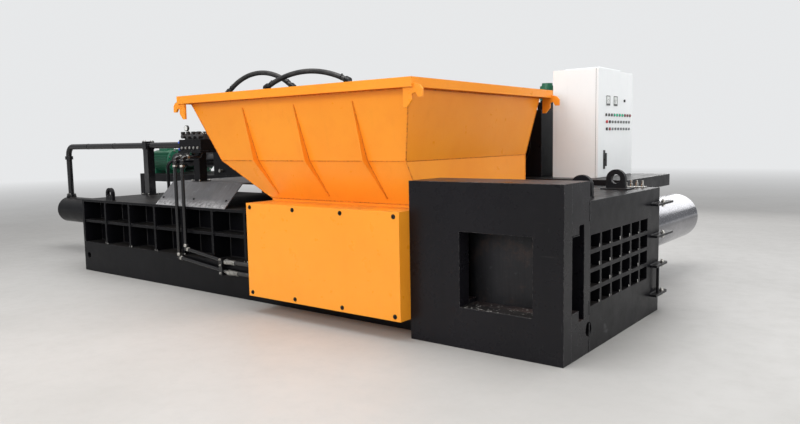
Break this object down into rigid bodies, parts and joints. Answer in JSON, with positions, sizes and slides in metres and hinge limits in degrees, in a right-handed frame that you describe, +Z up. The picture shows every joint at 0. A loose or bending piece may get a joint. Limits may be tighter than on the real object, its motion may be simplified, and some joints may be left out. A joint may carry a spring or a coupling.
{
  "type": "recycling baler",
  "caption": "Two-ram scrap baler: ribbed charging box, hopper, bale chamber with sliding gate, hydraulic cylinders, power pack and control cabinet.",
  "frame": {"origin": "on the floor, under the crossing of the charging ram's and the compress ram's axes", "axes": "+X from the charging cylinder to the grid window, -Y out of the bale outlet, +Z up"},
  "size_m": [8.719, 4.427, 2.5898],
  "materials": {
    "black_paint": "satin",
    "orange_paint": "semi-gloss",
    "worn_steel": "worn",
    "chrome_rod": "polished",
    "silver_paint": "gloss",
    "zinc_steel": "bright",
    "valve_grey": "satin",
    "green_paint": "satin",
    "hose_rubber": "matt",
    "white_paint": "fine texture",
    "black_plastic": "matt",
    "meter_plastic": "gloss",
    "lamp_plastic": "gloss",
    "red_plastic": "gloss",
    "dark_red_plastic": "gloss",
    "grey_plastic": "satin"
  },
  "bodies": {
    "frame": {"main_frame": "black_paint", "frame_sides": "black_paint", "gate_track": "black_paint", "bale_box": "black_paint", "end_grid": "black_paint", "portal_front": "black_paint", "gate_portal": "black_paint", "chamber_liner": "worn_steel", "channel_liners": "worn_steel", "throat_blade": "worn_steel", "charging_cylinder": "black_paint", "charging_gland": "worn_steel", "compress_cylinder": "silver_paint", "compress_gland": "worn_steel", "gate_cylinder": "black_paint", "gate_cover": "orange_paint", "cover_posts": "black_paint", "cover_bolts": "black_paint", "hopper": "orange_paint", "hopper_seat": "orange_paint", "ram_hood": "worn_steel", "lifting_lugs": "black_paint", "rear_lugs": "black_paint", "lug_bolts": "zinc_steel", "lug_rod": "black_paint", "valve_stand": "black_paint", "valve_manifold": "black_paint", "solenoid_valves": "valve_grey", "main_oil_pipe": "black_paint", "gate_pipes": "black_paint", "gate_hoses": "hose_rubber", "power_deck": "black_paint", "tank_stand": "black_paint", "oil_tank": "black_paint", "pump_motors": "green_paint", "pumps": "valve_grey", "suction_pipes": "black_paint", "pressure_pipe": "black_paint", "tank_fittings": "zinc_steel", "arch_hoses": "hose_rubber", "oil_cooler": "black_paint", "cabinet": "white_paint"},
    "charging_ram": {"charging_ram": "worn_steel", "charging_rod": "chrome_rod", "ram_blade": "worn_steel"},
    "compress_ram": {"compress_ram": "worn_steel", "compress_rod": "chrome_rod"},
    "gate": {"gate": "worn_steel", "gate_rod": "chrome_rod"},
    "door": {"cabinet_door": "white_paint", "panel_meters": "meter_plastic", "indicator_lamps": "lamp_plastic"},
    "handle": {"door_handle": "black_plastic"},
    "main_switch": {"main_switch": "black_plastic"},
    "red_button": {"red_button": "red_plastic"},
    "black_button": {"black_button": "black_plastic"},
    "stop_button": {"stop_button": "dark_red_plastic"},
    "reset_button": {"reset_button": "black_plastic"},
    "selector_1": {"selector_1": "grey_plastic"},
    "selector_2": {"selector_2": "grey_plastic"}
  },
  "joints": [
    {"name": "charging_stroke", "type": "slide", "parent": "frame", "child": "charging_ram", "axis": [1, 0, 0], "range_m": [0, 2.22]},
    {"name": "compress_stroke", "type": "slide", "parent": "frame", "child": "compress_ram", "axis": [0, -1, 0], "range_m": [0, 1.34]},
    {"name": "gate_stroke", "type": "slide", "parent": "frame", "child": "gate", "axis": [-1, 0, 0], "range_m": [0, 0.7]},
    {"name": "door_swing", "type": "hinge", "parent": "frame", "child": "door", "pos_m": [-0.22, 2.299, 1.69], "axis": [0, 0, 1], "range_deg": [0, 110]},
    {"name": "handle_turn", "type": "hinge", "parent": "door", "child": "handle", "pos_m": [-0.208, 1.498, 1.33], "axis": [1, 0, 0], "range_deg": [0, 90]},
    {"name": "main_switch_turn", "type": "hinge", "parent": "door", "child": "main_switch", "pos_m": [-0.208, 2.039, 1.933], "axis": [-1, 0, 0], "range_deg": [0, 90]},
    {"name": "red_button_press", "type": "slide", "parent": "door", "child": "red_button", "axis": [-1, 0, 0], "range_m": [0, 0.004], "stiffness_N_per_m": 500},
    {"name": "black_button_press", "type": "slide", "parent": "door", "child": "black_button", "axis": [-1, 0, 0], "range_m": [0, 0.004], "stiffness_N_per_m": 500},
    {"name": "stop_button_press", "type": "slide", "parent": "door", "child": "stop_button", "axis": [-1, 0, 0], "range_m": [0, 0.004], "stiffness_N_per_m": 500},
    {"name": "reset_button_press", "type": "slide", "parent": "door", "child": "reset_button", "axis": [-1, 0, 0], "range_m": [0, 0.004], "stiffness_N_per_m": 500},
    {"name": "selector_1_turn", "type": "hinge", "parent": "door", "child": "selector_1", "pos_m": [-0.208, 1.706, 1.71], "axis": [-1, 0, 0], "range_deg": [-45, 45]},
    {"name": "selector_2_turn", "type": "hinge", "parent": "door", "child": "selector_2", "pos_m": [-0.208, 1.785, 1.71], "axis": [-1, 0, 0], "range_deg": [-45, 45]}
  ]
}
